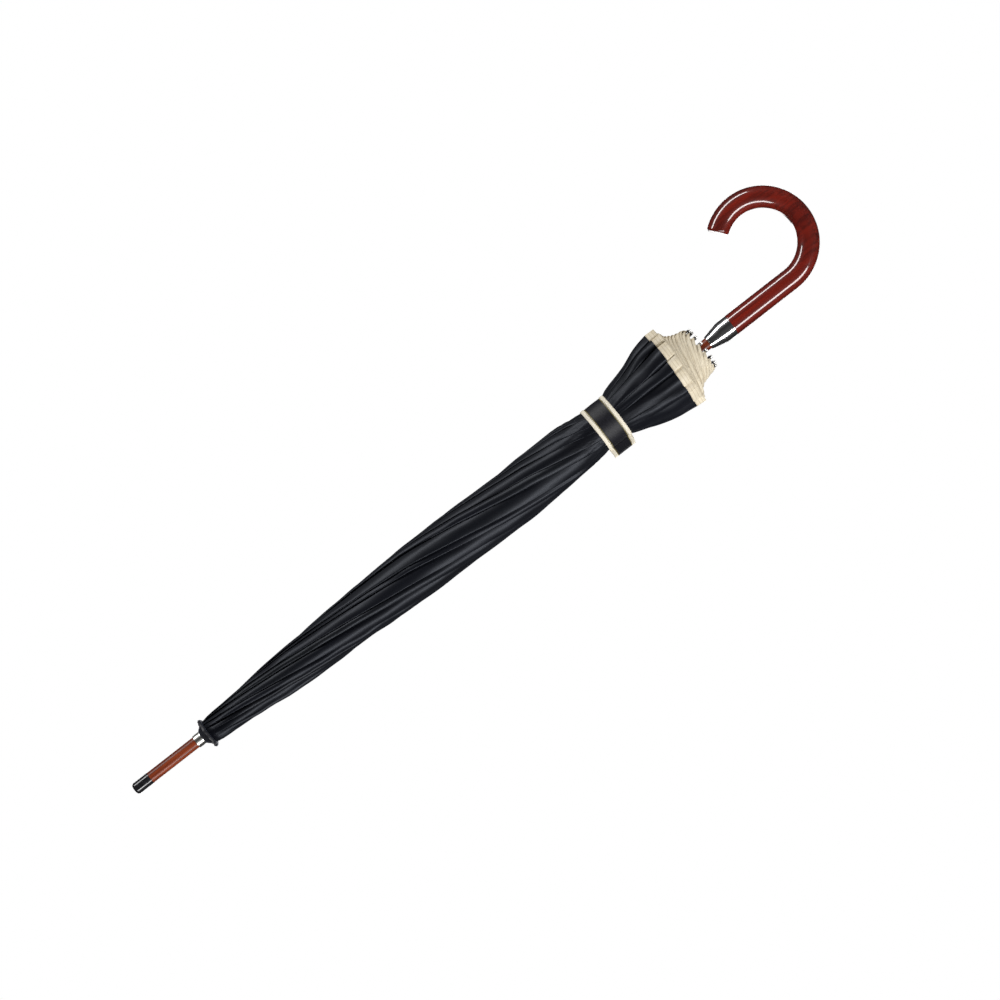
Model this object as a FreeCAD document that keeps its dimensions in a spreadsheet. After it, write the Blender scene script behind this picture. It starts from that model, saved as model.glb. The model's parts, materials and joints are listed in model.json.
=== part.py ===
"""Stick umbrella with sixteen ribs, closed and strapped, standing tip up.

Every length is in millimetres. The origin is the middle of the straight grip, Z points
along the stick to the tip, and the crook turns towards +X.
"""
import FreeCAD, Part

import os

import Sketcher
from FreeCAD import Placement, Rotation, Vector

doc = FreeCAD.newDocument("stick_umbrella")
sheet = doc.addObject("Spreadsheet::Sheet", "Dimensions")

# Driving sizes, one aliased cell each.
SIZES = {
    # handle and stick
    "handle_radius": 11.3,
    "grip_top": 38,
    "grip_bottom": -37.5,
    "crook_radius": 46,
    "crook_sweep": 220,
    "crook_end_rounding": 2.5,
    "stick_radius": 6,
    "stick_bottom": 20,
    "stick_top": 774,
    "socket_gap": 0.05,
    "spigot_radius": 4.9,
    "spigot_top": 785,
    "collar_radius": 11.1,
    "collar_shoulder": 50,
    "collar_neck_radius": 7.5,
    "collar_neck": 65.6,
    "collar_top": 67,
    "collar_lip_radius": 7.0,
    # ferrule end
    "cap_radius": 6.2,
    "cap_bottom": 774.05,
    "cap_top": 794,
    "cap_rounding": 3,
    "cap_socket_top": 786,
    "ring_radius": 6.9,
    "ring_bottom": 706.2,
    "ring_top": 716,
    "ring_rounding": 0.3,
    "rosette_foot": 699.4,
    "rosette_foot_radius": 10,
    "rosette_bend": 701.6,
    "rosette_bend_radius": 12.2,
    "rosette_brim": 707.4,
    "rosette_brim_radius": 15,
    "rosette_lip": 708.2,
    "rosette_lip_radius": 14.1,
    "rosette_dish": 703.6,
    "rosette_dish_radius": 10.2,
    "rosette_neck_radius": 8.4,
    "rosette_top": 706,
    # crown and runner
    "rib_count": 16,
    "pivot_radius": 8.6,
    "wire_radius": 0.45,
    "notch_radius": 11,
    "slot_floor_radius": 7.1,
    "slot_clear_radius": 12,
    "crown_pivot": 696,
    "crown_bottom": 689.5,
    "crown_top": 698.8,
    "crown_slot_width": 1.6,
    "crown_slot_top": 697.6,
    "crown_slot_open": 688,
    "runner_bore_radius": 6.15,
    "runner_head_below": 6,
    "runner_head_above": 3,
    "runner_sleeve_radius": 8,
    "runner_sleeve_below": 38,
    "runner_foot_radius": 9,
    "runner_foot_height": 4,
    "runner_slot_width": 1.4,
    "runner_slot_below": 1.6,
    "runner_slot_above": 4,
    "slit_width": 2,
    "slit_radius": 8.1,
    # ribs and stretchers
    "closed_angle": 1.2,
    "arm_length": 280,
    "tongue_width": 1.2,
    "tongue_inner": -1.1,
    "tongue_outer": 1.2,
    "tongue_end": -16,
    "rib_eye_radius": 1.3,
    "wire_hole_radius": 0.6,
    "channel_start": -14,
    "channel_end": -606,
    "channel_half_width": 1.1,
    "channel_inner_half_width": 0.7,
    "channel_back": 1.6,
    "channel_floor": 1.2,
    "channel_lip": -0.8,
    "rib_tip_radius": 1.5,
    "rib_tip_end": -622.5,
    "rib_tip_offset": 0.4,
    "rivet_radius": 0.5,
    "rivet_head_radius": 0.85,
    "rivet_half_length": 1.4,
    "stretcher_width": 1.0,
    "stretcher_half_depth": 0.8,
    "rivet_eye_radius": 0.9,
    "rivet_hole_radius": 0.65,
    # catches let into the stick
    "catch_width": 1.4,
    "catch_back": 1.0,
    "catch_shoulder": 4.8,
    "catch_nose": 7.8,
    "catch_step": 6,
    "catch_flat_end": 9,
    "catch_length": 24,
    "bottom_catch_height": 104,
    "top_catch_height": 403,
    "catch_slot_width": 1.8,
    "catch_slot_back": -1.2,
    "catch_slot_front": 7,
    "catch_slot_margin": 1,
    # strap
    "strap_inner_radius": 23.4,
    "strap_outer_radius": 24.2,
    "strap_bottom": 183,
    "strap_top": 211,
    "tab_inner": 25,
    "tab_outer": 33.2,
    "tab_half_thickness": 0.9,
    "tab_bottom": 184,
    "tab_top": 210,
    "tab_rounding": 2,
    # rolled canopy panels
    "panel_side_gap": 0.95,
    "panel_top": 690,
    "panel_crown_inner": 11.6,
    "panel_crown_outer": 13.2,
    "panel_crown_foot": 665,
    "shoulder_radius": 17,
    "shoulder_height": 644,
    "upper_radius": 20.7,
    "upper_height": 592,
    "chest_radius": 22.9,
    "chest_height": 544,
    "swell_radius": 26,
    "swell_height": 484,
    "belly_radius": 28.2,
    "belly_top": 440,
    "belly_bottom": 290,
    "waist_start_radius": 26,
    "waist_start": 244,
    "waist_radius": 23,
    "waist_top": 214,
    "waist_bottom": 180,
    "flare_start_radius": 29,
    "flare_start": 172,
    "flare_radius": 35,
    "flare_height": 154,
    "mouth_radius": 44,
    "mouth_top": 113,
    "mouth_hem_radius": 43.6,
    "mouth_hem": 108,
    "tuck_radius": 31,
    "tuck_height": 99,
    "hem_radius": 26.5,
    "hem_inner_radius": 23.8,
    "hem_height": 74,
    "tuck_inner_radius": 26.4,
    "tuck_inner_height": 101,
    "mouth_inner_radius": 38,
    "mouth_inner_height": 112,
    "flare_inner_radius": 29,
    "flare_inner_height": 150,
    "waist_inner_radius": 22.2,
    "waist_inner_height": 168,
}

# Sizes worked out from the ones above.
DERIVED = {
    "middle": "0",
    "stick_socket_radius": "stick_radius + socket_gap",
    "cap_socket_radius": "spigot_radius + socket_gap",
    "rib_pitch": "360 / rib_count",
    "half_pitch": "180 / rib_count",
    "panel_angle": "360 / rib_count - 2 * panel_side_gap",
    "joint_radius": "pivot_radius + arm_length * sin(closed_angle * 1deg)",
    "joint_height": "crown_pivot - arm_length * cos(closed_angle * 1deg)",
    "runner_pivot": "crown_pivot - 2 * arm_length * cos(closed_angle * 1deg)",
    "runner_head_top": "runner_pivot + runner_head_above",
    "runner_head_bottom": "runner_pivot - runner_head_below",
    "runner_bottom": "runner_pivot - runner_sleeve_below",
    "runner_foot_top": "runner_bottom + runner_foot_height",
    "runner_slot_bottom": "runner_pivot - runner_slot_below",
    "runner_slot_top": "runner_pivot + runner_slot_above",
    "slit_start": "runner_bottom - 1",
    "slit_end": "runner_head_top + 1",
    "bottom_catch_slot_low": "bottom_catch_height - catch_slot_margin",
    "bottom_catch_slot_high": "bottom_catch_height + catch_length + catch_slot_margin",
    "top_catch_slot_low": "top_catch_height - catch_length - catch_slot_margin",
    "top_catch_slot_high": "top_catch_height + catch_slot_margin",
}


def column_name(index):
    """Letter of the sheet column that holds one batch of cells."""
    return "ABCDEFGH"[index]


for row, (alias, size) in enumerate(SIZES.items(), 1):
    sheet.set(column_name(0) + str(row), str(size))
    sheet.setAlias(column_name(0) + str(row), alias)
for row, (alias, formula) in enumerate(DERIVED.items(), 1):
    sheet.set(column_name(1) + str(row), "=" + formula)
    sheet.setAlias(column_name(1) + str(row), alias)
doc.recompute()


def size_of(term):
    """Present value of a cell, with a leading minus allowed."""
    return -float(sheet.get(term[1:])) if term[0] == "-" else float(sheet.get(term))


def formula(term):
    """Expression that reads a cell of the sheet."""
    return "-Dimensions." + term[1:] if term[0] == "-" else "Dimensions." + term


def new_body(name):
    """Body that becomes one solid."""
    return doc.addObject("PartDesign::Body", name)


def origin_plane(body, role):
    """Base plane of a body's own origin."""
    return next(f for f in body.Origin.OriginFeatures if f.Role == role)


def new_sketch(body, role, lift=None, turn=None):
    """Sketch on a base plane, lifted along its normal or turned about its upright."""
    sketch = body.newObject("Sketcher::SketchObject", body.Name + "_sketch")
    sketch.AttachmentSupport = [(origin_plane(body, role), "")]
    sketch.MapMode = "FlatFace"
    if lift:
        sketch.setExpression("AttachmentOffset.Base.z", formula(lift))
    if turn:
        sketch.AttachmentOffset = Placement(Vector(), Rotation(Vector(0, 1, 0), 1))
        sketch.setExpression("AttachmentOffset.Rotation.Angle", formula(turn))
    return sketch


def pin_point(sketch, geometry, point, across, up):
    """Fix one point of the sketch at two cells."""
    for kind, term in (("DistanceX", across), ("DistanceY", up)):
        at = sketch.addConstraint(
            Sketcher.Constraint(kind, -1, 1, geometry, point, size_of(term)))
        sketch.setExpression("Constraints[%d]" % at, formula(term))


def draw_outline(sketch, corners):
    """Closed outline through corners given as pairs of cells."""
    spots = [Vector(size_of(a), size_of(b), 0) for a, b in corners]
    first = len(sketch.Geometry)
    count = len(spots)
    for i in range(count):
        sketch.addGeometry(Part.LineSegment(spots[i], spots[(i + 1) % count]))
    for i in range(count):
        sketch.addConstraint(Sketcher.Constraint(
            "Coincident", first + i, 2, first + (i + 1) % count, 1))
        pin_point(sketch, first + i, 1, *corners[i])


def draw_circle(sketch, radius, across="middle", up="middle"):
    """Circle of a radius cell about a point given by two cells."""
    spot = Vector(size_of(across), size_of(up), 0)
    ring = sketch.addGeometry(Part.Circle(spot, Vector(0, 0, 1), size_of(radius)))
    at = sketch.addConstraint(Sketcher.Constraint("Radius", ring, size_of(radius)))
    sketch.setExpression("Constraints[%d]" % at, formula(radius))
    pin_point(sketch, ring, 3, across, up)


def pad(body, sketch, length, both_ways=False, backwards=False):
    """Pad a sketch by a cell or an expression of cells."""
    feature = body.newObject("PartDesign::Pad", body.Name + "_pad")
    feature.Profile = sketch
    feature.setExpression("Length", length)
    feature.Midplane = both_ways
    feature.Reversed = backwards
    return feature


def pocket(body, sketch, length, both_ways=True):
    """Cut a sketch through a body."""
    feature = body.newObject("PartDesign::Pocket", body.Name + "_cut")
    feature.Profile = sketch
    feature.setExpression("Length", length)
    feature.Midplane = both_ways
    return feature


def turn_about(body, sketch, axis, angle="360", backwards=False):
    """Revolve a sketch about one of its own axes."""
    feature = body.newObject("PartDesign::Revolution", body.Name + "_turned")
    feature.Profile = sketch
    feature.ReferenceAxis = (sketch, [axis])
    feature.setExpression("Angle", angle)
    feature.Reversed = backwards
    return feature


def repeat_round(body, feature):
    """Repeat a feature once for every rib."""
    pattern = body.newObject("PartDesign::PolarPattern", body.Name + "_all_round")
    pattern.Originals = [feature]
    pattern.Axis = (next(f for f in body.Origin.OriginFeatures if f.Role == "Z_Axis"), [""])
    pattern.Angle = 360
    pattern.setExpression("Occurrences", "Dimensions.rib_count")
    body.Tip = pattern
    return pattern


def round_edges(body, feature, radius, spots):
    """Round the circular edges centred on the given spots."""
    doc.recompute()
    chosen = []
    for number, edge in enumerate(feature.Shape.Edges, 1):
        centre = getattr(edge.Curve, "Center", None)
        if centre is None:
            continue
        for spot, size in spots:
            if (centre - spot).Length < 0.01 and abs(edge.Curve.Radius - size) < 0.01:
                chosen.append("Edge%d" % number)
    fillet = body.newObject("PartDesign::Fillet", body.Name + "_rounding")
    fillet.Base = (feature, chosen)
    fillet.setExpression("Radius", formula(radius))
    return fillet


def turned_body(name, corners):
    """Body turned about the stick from corners given as radius and height."""
    body = new_body(name)
    sketch = new_sketch(body, "XZ_Plane")
    draw_outline(sketch, corners)
    return body, turn_about(body, sketch, "V_Axis")


def make_handle():
    """Straight grip running into the round crook, with a blind hole for the stick."""
    body = new_body("handle_crook")
    grip = new_sketch(body, "XY_Plane", lift="grip_bottom")
    draw_circle(grip, "handle_radius")
    pad(body, grip, "Dimensions.grip_top - Dimensions.grip_bottom")
    bend = new_sketch(body, "XY_Plane", lift="grip_bottom")
    draw_circle(bend, "handle_radius")
    centre_line = bend.addGeometry(Part.LineSegment(
        Vector(size_of("crook_radius"), -1, 0), Vector(size_of("crook_radius"), 1, 0)), True)
    bend.addConstraint(Sketcher.Constraint("Vertical", centre_line))
    pin_point(bend, centre_line, 1, "crook_radius", "-crook_end_rounding")
    crook = turn_about(body, bend, "Axis0", "Dimensions.crook_sweep", backwards=True)
    socket = new_sketch(body, "XY_Plane", lift="stick_bottom")
    draw_circle(socket, "stick_socket_radius")
    doc.recompute()
    end = FreeCAD.Rotation(Vector(0, 1, 0), -size_of("crook_sweep")).multVec(
        Vector(-size_of("crook_radius"), 0, 0))
    end += Vector(size_of("crook_radius"), 0, size_of("grip_bottom"))
    rounded = round_edges(body, crook, "crook_end_rounding", [(end, size_of("handle_radius"))])
    body.Tip = rounded
    hole = pocket(body, socket, "Dimensions.grip_top - Dimensions.stick_bottom + 1", False)
    hole.Reversed = True
    return body


def make_collar():
    """Conical metal collar between the handle and the stick."""
    body, _ = turned_body("handle_collar", [
        ("stick_socket_radius", "grip_top"), ("collar_radius", "grip_top"),
        ("collar_radius", "collar_shoulder"), ("collar_neck_radius", "collar_neck"),
        ("collar_lip_radius", "collar_top"), ("stick_socket_radius", "collar_top")])
    return body


def make_stick():
    """Wooden stick with a turned-down end and a slot for each catch."""
    body = new_body("shaft")
    for radius, foot, top in (("stick_radius", "stick_bottom", "stick_top"),
                              ("spigot_radius", "stick_top", "spigot_top")):
        disc = new_sketch(body, "XY_Plane", lift=foot)
        draw_circle(disc, radius)
        pad(body, disc, "%s - %s" % (formula(top), formula(foot)))
    for low, high in (("bottom_catch_slot_low", "bottom_catch_slot_high"),
                      ("top_catch_slot_low", "top_catch_slot_high")):
        sketch = new_sketch(body, "XZ_Plane")
        draw_outline(sketch, [
            ("catch_slot_back", low), ("catch_slot_front", low),
            ("catch_slot_front", high), ("catch_slot_back", high)])
        pocket(body, sketch, "Dimensions.catch_slot_width")
    return body


def make_ferrule_cap():
    """Black cap with a rounded end over the spigot."""
    body, turned = turned_body("ferrule_cap", [
        ("cap_socket_radius", "cap_bottom"), ("cap_radius", "cap_bottom"),
        ("cap_radius", "cap_top"), ("middle", "cap_top"),
        ("middle", "cap_socket_top"), ("cap_socket_radius", "cap_socket_top")])
    rim = (Vector(0, 0, size_of("cap_top")), size_of("cap_radius"))
    round_edges(body, turned, "cap_rounding", [rim])
    return body


def make_ferrule_ring():
    """Silver ring below the bare end of the stick."""
    body, turned = turned_body("ferrule_ring", [
        ("stick_socket_radius", "ring_bottom"), ("ring_radius", "ring_bottom"),
        ("ring_radius", "ring_top"), ("stick_socket_radius", "ring_top")])
    rims = [(Vector(0, 0, size_of(h)), size_of("ring_radius")) for h in ("ring_bottom", "ring_top")]
    round_edges(body, turned, "ring_rounding", rims)
    return body


def make_rosette():
    """Gathered fabric rosette with a brim turned up towards the tip."""
    body, _ = turned_body("rosette", [
        ("stick_socket_radius", "rosette_foot"), ("rosette_foot_radius", "rosette_foot"),
        ("rosette_bend_radius", "rosette_bend"), ("rosette_brim_radius", "rosette_brim"),
        ("rosette_lip_radius", "rosette_lip"), ("rosette_dish_radius", "rosette_dish"),
        ("rosette_neck_radius", "rosette_top"), ("stick_socket_radius", "rosette_top")])
    return body


def cut_notch_slots(body, width, low, high, wire_height):
    """Cut one slot for every arm, then lay the pivot wire through them all."""
    slot = new_sketch(body, "XZ_Plane", turn="half_pitch")
    draw_outline(slot, [
        ("slot_floor_radius", low), ("slot_clear_radius", low),
        ("slot_clear_radius", high), ("slot_floor_radius", high)])
    repeat_round(body, pocket(body, slot, formula(width)))
    wire = new_sketch(body, "XZ_Plane")
    draw_circle(wire, "wire_radius", "pivot_radius", wire_height)
    turn_about(body, wire, "V_Axis")


def make_crown():
    """Notched crown fixed to the stick, with the wire the ribs turn on."""
    body, _ = turned_body("crown", [
        ("stick_socket_radius", "crown_bottom"), ("notch_radius", "crown_bottom"),
        ("notch_radius", "crown_top"), ("stick_socket_radius", "crown_top")])
    cut_notch_slots(body, "crown_slot_width", "crown_slot_open", "crown_slot_top", "crown_pivot")
    return body


def make_runner():
    """Sliding runner: notched head, slit sleeve and foot, with the stretchers' wire."""
    body, _ = turned_body("runner", [
        ("runner_bore_radius", "runner_bottom"), ("runner_foot_radius", "runner_bottom"),
        ("runner_foot_radius", "runner_foot_top"), ("runner_sleeve_radius", "runner_foot_top"),
        ("runner_sleeve_radius", "runner_head_bottom"), ("notch_radius", "runner_head_bottom"),
        ("notch_radius", "runner_head_top"), ("runner_bore_radius", "runner_head_top")])
    cut_notch_slots(body, "runner_slot_width", "runner_slot_bottom", "runner_slot_top",
                    "runner_pivot")
    slit = new_sketch(body, "XZ_Plane")
    draw_outline(slit, [
        ("stick_radius", "slit_start"), ("slit_radius", "slit_start"),
        ("slit_radius", "slit_end"), ("stick_radius", "slit_end")])
    pocket(body, slit, "Dimensions.slit_width")
    return body


def make_catch(name, foot, upside_down):
    """Spring catch plate with a flat face on one side of its nose and a ramp on the other."""
    body = new_body(name)
    sketch = new_sketch(body, "XZ_Plane")
    draw_outline(sketch, [
        ("catch_back", "middle"), ("catch_shoulder", "middle"),
        ("catch_shoulder", "catch_step"), ("catch_nose", "catch_step"),
        ("catch_nose", "catch_flat_end"), ("catch_shoulder", "catch_length"),
        ("catch_back", "catch_length")])
    pad(body, sketch, "Dimensions.catch_width", both_ways=True)
    if upside_down:
        body.Placement = Placement(Vector(), Rotation(Vector(1, 0, 0), 180))
    body.setExpression("Placement.Base.z", formula(foot))
    return body


def make_strap():
    """Strap band round the rolled canopy."""
    body, _ = turned_body("tie_strap", [
        ("strap_inner_radius", "strap_bottom"), ("strap_outer_radius", "strap_bottom"),
        ("strap_outer_radius", "strap_top"), ("strap_inner_radius", "strap_top")])
    return body


def make_strap_tab():
    """Loose doubled end of the strap, standing out from the band."""
    body = new_body("strap_tab")
    sketch = new_sketch(body, "XZ_Plane")
    draw_outline(sketch, [
        ("-tab_outer", "tab_bottom"), ("-tab_inner", "tab_bottom"),
        ("-tab_inner", "tab_top"), ("-tab_outer", "tab_top")])
    block = pad(body, sketch, "2 * Dimensions.tab_half_thickness", both_ways=True)
    doc.recompute()
    corners = []
    for number, edge in enumerate(block.Shape.Edges, 1):
        middle = edge.CenterOfMass
        if abs(middle.y) < 0.01 and abs(middle.x + size_of("tab_outer")) < 0.01:
            corners.append("Edge%d" % number)
    fillet = body.newObject("PartDesign::Fillet", "strap_tab_rounding")
    fillet.Base = (block, corners)
    fillet.setExpression("Radius", "Dimensions.tab_rounding")
    return body


def make_panel(number):
    """One rolled canopy panel, a thin wedge of the bundle between two ribs."""
    body = new_body("canopy_panel_%02d" % number)
    sketch = new_sketch(body, "XZ_Plane")
    draw_outline(sketch, [
        ("panel_crown_inner", "panel_top"), ("panel_crown_outer", "panel_top"),
        ("shoulder_radius", "shoulder_height"), ("upper_radius", "upper_height"),
        ("chest_radius", "chest_height"), ("swell_radius", "swell_height"),
        ("belly_radius", "belly_top"), ("belly_radius", "belly_bottom"),
        ("waist_start_radius", "waist_start"), ("waist_radius", "waist_top"),
        ("waist_radius", "waist_bottom"), ("flare_start_radius", "flare_start"),
        ("flare_radius", "flare_height"), ("mouth_radius", "mouth_top"),
        ("mouth_hem_radius", "mouth_hem"), ("tuck_radius", "tuck_height"),
        ("hem_radius", "hem_height"), ("hem_inner_radius", "hem_height"),
        ("tuck_inner_radius", "tuck_inner_height"),
        ("mouth_inner_radius", "mouth_inner_height"),
        ("flare_inner_radius", "flare_inner_height"),
        ("waist_inner_radius", "waist_inner_height"),
        ("panel_crown_inner", "panel_crown_foot")])
    turned = turn_about(body, sketch, "V_Axis", "Dimensions.panel_angle")
    turned.Midplane = True
    body.Placement = Placement(Vector(), Rotation(Vector(0, 0, 1), 1))
    body.setExpression("Placement.Rotation.Angle", "Dimensions.rib_pitch * %d" % number)
    return body


def make_rib(number):
    """Channel rib with its crown tongue, its metal tip and the rivet of its stretcher."""
    body = new_body("rib_channel_%02d" % number)
    tongue = new_sketch(body, "XZ_Plane")
    draw_outline(tongue, [
        ("tongue_inner", "tongue_end"), ("tongue_outer", "tongue_end"),
        ("tongue_outer", "middle"), ("tongue_inner", "middle")])
    pad(body, tongue, "Dimensions.tongue_width", both_ways=True)
    eye = new_sketch(body, "XZ_Plane")
    draw_circle(eye, "rib_eye_radius")
    pad(body, eye, "Dimensions.tongue_width", both_ways=True)
    section = new_sketch(body, "XY_Plane", lift="channel_end")
    draw_outline(section, [
        ("channel_back", "-channel_half_width"), ("channel_back", "channel_half_width"),
        ("channel_lip", "channel_half_width"), ("channel_lip", "channel_inner_half_width"),
        ("channel_floor", "channel_inner_half_width"),
        ("channel_floor", "-channel_inner_half_width"),
        ("channel_lip", "-channel_inner_half_width"), ("channel_lip", "-channel_half_width")])
    pad(body, section, "Dimensions.channel_start - Dimensions.channel_end")
    wire_hole = new_sketch(body, "XZ_Plane")
    draw_circle(wire_hole, "wire_hole_radius")
    pocket(body, wire_hole, "4 * Dimensions.channel_half_width")
    rivet_hole = new_sketch(body, "XZ_Plane")
    draw_circle(rivet_hole, "rivet_radius", "middle", "-arm_length")
    pocket(body, rivet_hole, "4 * Dimensions.channel_half_width")

    tip = doc.addObject("Part::Cylinder", "rib_tip_%02d" % number)
    tip.setExpression("Radius", "Dimensions.rib_tip_radius")
    tip.setExpression("Height", "Dimensions.channel_end - Dimensions.rib_tip_end")
    tip.setExpression("Placement.Base.x", "Dimensions.rib_tip_offset")
    tip.setExpression("Placement.Base.z", "Dimensions.rib_tip_end")

    rivet = new_body("rivet_%02d" % number)
    half = new_sketch(rivet, "XY_Plane")
    draw_outline(half, [
        ("middle", "-rivet_half_length"), ("rivet_head_radius", "-rivet_half_length"),
        ("rivet_head_radius", "-channel_half_width"), ("rivet_radius", "-channel_half_width"),
        ("rivet_radius", "channel_half_width"), ("rivet_head_radius", "channel_half_width"),
        ("rivet_head_radius", "rivet_half_length"), ("middle", "rivet_half_length")])
    turn_about(rivet, half, "V_Axis")
    rivet.setExpression("Placement.Base.z", "-Dimensions.arm_length")

    rib = doc.addObject("Part::Compound", "rib_%02d" % number)
    rib.Links = [body, tip, rivet]
    place_round(rib, number, "pivot_radius", "crown_pivot", -1)
    return rib


def make_stretcher(number):
    """Stretcher bar from the rib's rivet to the runner's wire."""
    body = new_body("stretcher_%02d" % number)
    bar = new_sketch(body, "XZ_Plane")
    draw_outline(bar, [
        ("-stretcher_half_depth", "-arm_length"), ("stretcher_half_depth", "-arm_length"),
        ("stretcher_half_depth", "middle"), ("-stretcher_half_depth", "middle")])
    pad(body, bar, "Dimensions.stretcher_width", both_ways=True)
    for radius, height in (("rivet_eye_radius", "middle"), ("rib_eye_radius", "-arm_length")):
        eye = new_sketch(body, "XZ_Plane")
        draw_circle(eye, radius, "middle", height)
        pad(body, eye, "Dimensions.stretcher_width", both_ways=True)
    holes = new_sketch(body, "XZ_Plane")
    draw_circle(holes, "rivet_hole_radius")
    draw_circle(holes, "wire_hole_radius", "middle", "-arm_length")
    pocket(body, holes, "2 * Dimensions.stretcher_width")
    place_round(body, number, "joint_radius", "joint_height", 1)
    return body


def place_round(piece, number, radius, height, lean):
    """Lean an arm by the closed angle and carry it round to its place."""
    azimuth = "(%d - 0.5) * 1deg * Dimensions.rib_pitch" % number
    piece.setExpression("Placement", (
        "placement(vector({r} * cos({a}); {r} * sin({a}); {z}); "
        "rotation(vector(0; 0; 1); {a}) * rotation(vector(0; 1; 0); {lean} * {tilt}))"
    ).format(a=azimuth, r=formula(radius), z=formula(height), lean=lean,
             tilt=formula("closed_angle")))


def export(piece):
    """Write one finished piece to its own file, named by its label."""
    if piece.Shape.isNull() or not piece.Shape.isValid():
        raise ValueError("bad shape: " + piece.Label)
    piece.Shape.exportStep("parts/%s.step" % piece.Label)


pieces = [
    make_handle(), make_collar(), make_stick(), make_ferrule_cap(), make_ferrule_ring(),
    make_rosette(), make_crown(), make_runner(),
    make_catch("bottom_catch", "bottom_catch_height", False),
    make_catch("top_catch", "top_catch_height", True),
    make_strap(), make_strap_tab(),
]
for number in range(1, SIZES["rib_count"] + 1):
    pieces += [make_rib(number), make_stretcher(number), make_panel(number)]

doc.recompute()
for item in doc.Objects:
    if "Invalid" in item.State or "Error" in item.State:
        raise ValueError("object in error: " + item.Label)
os.makedirs("parts", exist_ok=True)
for piece in pieces:
    export(piece)
    box = piece.Shape.BoundBox
    print("%-18s %2d solids  volume %10.2f  x %.1f..%.1f  y %.1f..%.1f  z %.1f..%.1f" % (
        piece.Label, len(piece.Shape.Solids), piece.Shape.Volume,
        box.XMin, box.XMax, box.YMin, box.YMax, box.ZMin, box.ZMax))
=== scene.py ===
"""Looks of the stick umbrella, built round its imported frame. Metres, tip up, crook towards +X."""

import json
import math

import bmesh
import bpy
import numpy as np
from mathutils import Matrix, Vector


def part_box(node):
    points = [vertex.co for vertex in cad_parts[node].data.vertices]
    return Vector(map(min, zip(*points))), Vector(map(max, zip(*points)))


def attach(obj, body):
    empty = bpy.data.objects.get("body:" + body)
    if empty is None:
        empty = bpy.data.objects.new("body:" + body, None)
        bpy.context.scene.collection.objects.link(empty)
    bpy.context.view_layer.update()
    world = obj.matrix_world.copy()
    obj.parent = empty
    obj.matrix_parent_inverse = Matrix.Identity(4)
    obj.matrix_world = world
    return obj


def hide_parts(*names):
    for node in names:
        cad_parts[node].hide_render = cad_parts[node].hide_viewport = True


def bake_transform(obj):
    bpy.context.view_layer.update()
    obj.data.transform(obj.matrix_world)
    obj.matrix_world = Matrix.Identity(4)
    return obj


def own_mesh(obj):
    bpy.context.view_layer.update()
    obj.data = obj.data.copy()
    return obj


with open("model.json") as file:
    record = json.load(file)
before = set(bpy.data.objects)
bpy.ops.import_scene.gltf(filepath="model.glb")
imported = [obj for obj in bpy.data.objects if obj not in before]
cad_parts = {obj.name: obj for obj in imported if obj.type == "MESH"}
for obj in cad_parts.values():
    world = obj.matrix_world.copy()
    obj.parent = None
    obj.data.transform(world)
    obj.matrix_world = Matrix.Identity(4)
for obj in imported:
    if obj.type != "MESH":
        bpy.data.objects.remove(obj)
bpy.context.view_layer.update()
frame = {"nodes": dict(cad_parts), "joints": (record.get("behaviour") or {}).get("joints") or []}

MM = 0.001
RIBS = 16
PITCH = math.tau / RIBS
JOINTS = {j["name"]: j for j in frame["joints"]}

# Heights, the crown's radius and the opening's angle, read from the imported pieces.
CROWN_PIVOT = Vector(JOINTS["opening"]["pos_m"])
CROWN_RADIUS = math.hypot(CROWN_PIVOT.x, CROWN_PIVOT.y)
OPENING = math.radians(JOINTS["opening"]["range_deg"][1])
ROSETTE_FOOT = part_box("rosette")[0].z
CLOTH_TOP = ROSETTE_FOOT + 0.8 * MM
STRAP_MIDDLE = (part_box("tie_strap")[0].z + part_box("tie_strap")[1].z) / 2

# Strength of the white room for soft light and for reflections, and the lights' height.
ROOM_LIGHT = 0.27
ROOM_GLOSS = 0.03
LIGHT_HEIGHT = 0.35

# What the camera looks at, from how far, and which way is up in its frame.
CAMERA_TARGET = (0.0043, 0, 0.3278)
CAMERA_DISTANCE = 2.778
CAMERA_UP = (0.7889, 0, -0.6146)

# Pale floor plate.
FLOOR_TOP = -0.6
FLOOR_RADIUS = 0.85
FLOOR_THICKNESS = 0.02
FLOOR_SIDES = 96

# The closed ribs: their lean, their lower end, and how far outside their middle the cloth lies.
CLOSED_LEAN = math.radians(1.2)
RIB_LOW_END = 73.5 * MM
RIB_BACK = 2.1 * MM

# How each gore is cut: its half width at the crown and how that grows along the rib, how far the
# hem is cut back between two ribs, and how hollow the gore stands when it is spread.
HALF_WIDTH_AT_CROWN = 1.7 * MM
HALF_WIDTH_GROWTH = 108 / 622
HEM_DIP = 27.5 * MM
CREAM_BAND = 0.0105
CLOTH_THICKNESS = 0.16 * MM
HOLLOW = 0.07
CUT_SPACING = 0.3

# Where the rolled cloth changes: the hem at a fold, the flaring mouth's top and the length of its
# flare, the top of the neck under the strap, and the least radius over the crown.
HEM_AT_FOLD = 104 * MM
MOUTH_TOP = 180 * MM
MOUTH_RUN = 0.06
NECK_TOP = 213 * MM
CROWN_CLEARANCE = 11.3 * MM

# How unevenly the cloth is rolled: how far a fold strays, in degrees, and a hem; how far a flap
# stands up, least and most, in millimetres; and the length over which it starts to do so.
UNEVEN_FOLD = 5.5
UNEVEN_HEM = 2.6 * MM
LEAST_PUFF, MOST_PUFF = 0.7, 1.9
PUFF_RUN = 0.05
MOST_WRAP = 1.05

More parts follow.
